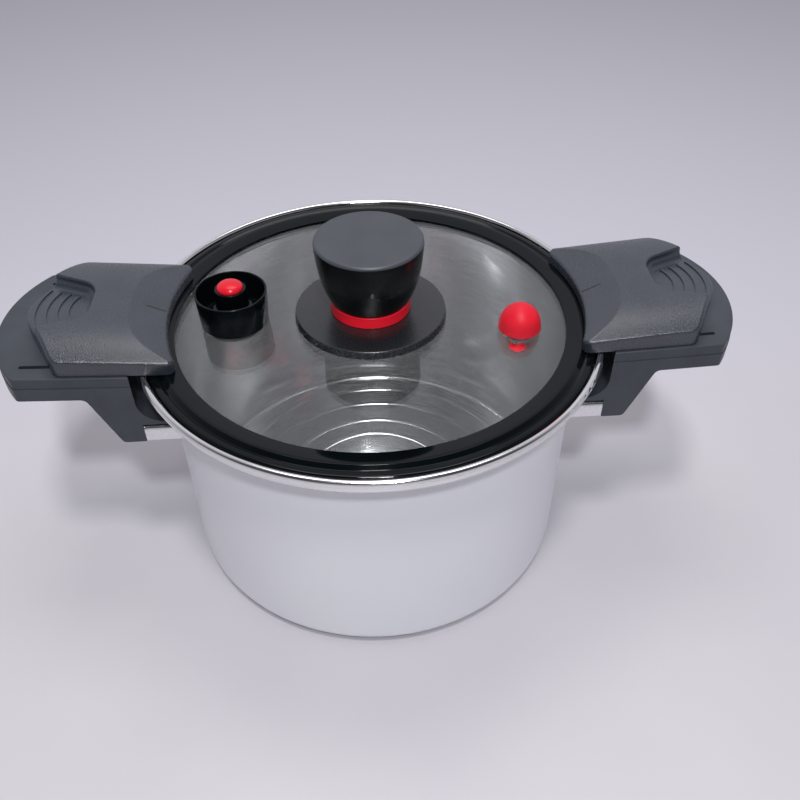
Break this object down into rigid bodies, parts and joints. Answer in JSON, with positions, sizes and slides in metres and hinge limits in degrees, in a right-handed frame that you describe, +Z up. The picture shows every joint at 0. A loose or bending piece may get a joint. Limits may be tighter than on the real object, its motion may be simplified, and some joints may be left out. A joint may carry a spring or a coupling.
{
  "type": "pressure canner",
  "caption": "Low round pressure pot with a glass lid, a mushroom knob, a steam release valve, a safety plug and two sliding locks on its side handles.",
  "frame": {"origin": "centre of the pot's base, on the surface it stands on", "axes": "+X along the handles towards the lock that stands further out, +Z up, -Y the side the cook faces"},
  "size_m": [0.404, 0.26, 0.1987],
  "materials": {
    "coated_steel": "satin white enamel outside, brushed bare steel inside and at the rim",
    "base_steel": "brushed",
    "bracket_steel": "polished",
    "handle_plastic": "fine matt grain",
    "lock_plastic": "fine sparkle grain",
    "ring_plastic": "high gloss",
    "lid_glass": "clear toughened",
    "seal_silicone": "translucent grey silicone",
    "knob_plastic": "high gloss",
    "knob_cap_plastic": "soft matt",
    "red_plastic": "gloss",
    "valve_plastic": "gloss",
    "red_silicone": "satin silicone",
    "brass": "turned",
    "steel_fasteners": "zinc plated",
    "spring_steel": "drawn wire",
    "tongue_steel": "stamped"
  },
  "bodies": {
    "pot": {"pot_body": "coated_steel", "base_disc": "base_steel", "bracket_left": "bracket_steel", "bracket_right": "bracket_steel", "handle_body_left": "handle_plastic", "handle_body_right": "handle_plastic", "handle_deck_left": "handle_plastic", "handle_deck_right": "handle_plastic", "handle_screws": "steel_fasteners", "deck_screws": "steel_fasteners"},
    "lid": {"lid_glass": "lid_glass", "lid_ring": "ring_plastic", "lid_seal": "seal_silicone", "knob_gasket": "seal_silicone", "knob_base": "knob_plastic", "knob_band": "red_plastic", "knob_grip": "knob_plastic", "knob_cap": "knob_cap_plastic", "knob_insert": "brass", "knob_screw": "steel_fasteners", "knob_washer": "steel_fasteners", "knob_seal_washer": "seal_silicone", "valve_cup": "valve_plastic", "valve_tower": "valve_plastic", "valve_tube": "brass", "valve_nut": "brass", "valve_gaskets": "seal_silicone", "vent_spring": "spring_steel", "plug_bush": "steel_fasteners", "plug_nut": "steel_fasteners", "plug_gaskets": "seal_silicone"},
    "button": {"vent_button": "red_plastic", "vent_stem": "steel_fasteners", "vent_seal": "seal_silicone"},
    "plug": {"safety_plug": "red_silicone"},
    "lock_left": {"lock_cap_left": "lock_plastic", "lock_tongue_left": "tongue_steel", "lock_keepers_left": "tongue_steel", "lock_cap_screws_left": "steel_fasteners", "lock_keeper_screws_left": "steel_fasteners"},
    "lock_right": {"lock_cap_right": "lock_plastic", "lock_tongue_right": "tongue_steel", "lock_keepers_right": "tongue_steel", "lock_cap_screws_right": "steel_fasteners", "lock_keeper_screws_right": "steel_fasteners"}
  },
  "joints": [
    {"name": "lock_left_slide", "type": "slide", "parent": "pot", "child": "lock_left", "axis": [-0.9991, 0, 0.0419], "range_m": [0, 0.017]},
    {"name": "lock_right_slide", "type": "slide", "parent": "pot", "child": "lock_right", "axis": [0.9991, 0, 0.0419], "range_m": [-0.007, 0.01]},
    {"name": "lid_turn", "type": "hinge", "parent": "pot", "child": "lid", "pos_m": [0, 0, 0.146], "axis": [0, 0, 1], "continuous": true},
    {"name": "vent_press", "type": "slide", "parent": "lid", "child": "button", "axis": [0, 0, -1], "range_m": [0, 0.0025], "stiffness_N_per_m": 300, "springref_m": -0.003, "deforming": ["vent_spring"]},
    {"name": "plug_lift", "type": "slide", "parent": "lid", "child": "plug", "axis": [0, 0, 1], "range_m": [0, 0.005]}
  ]
}
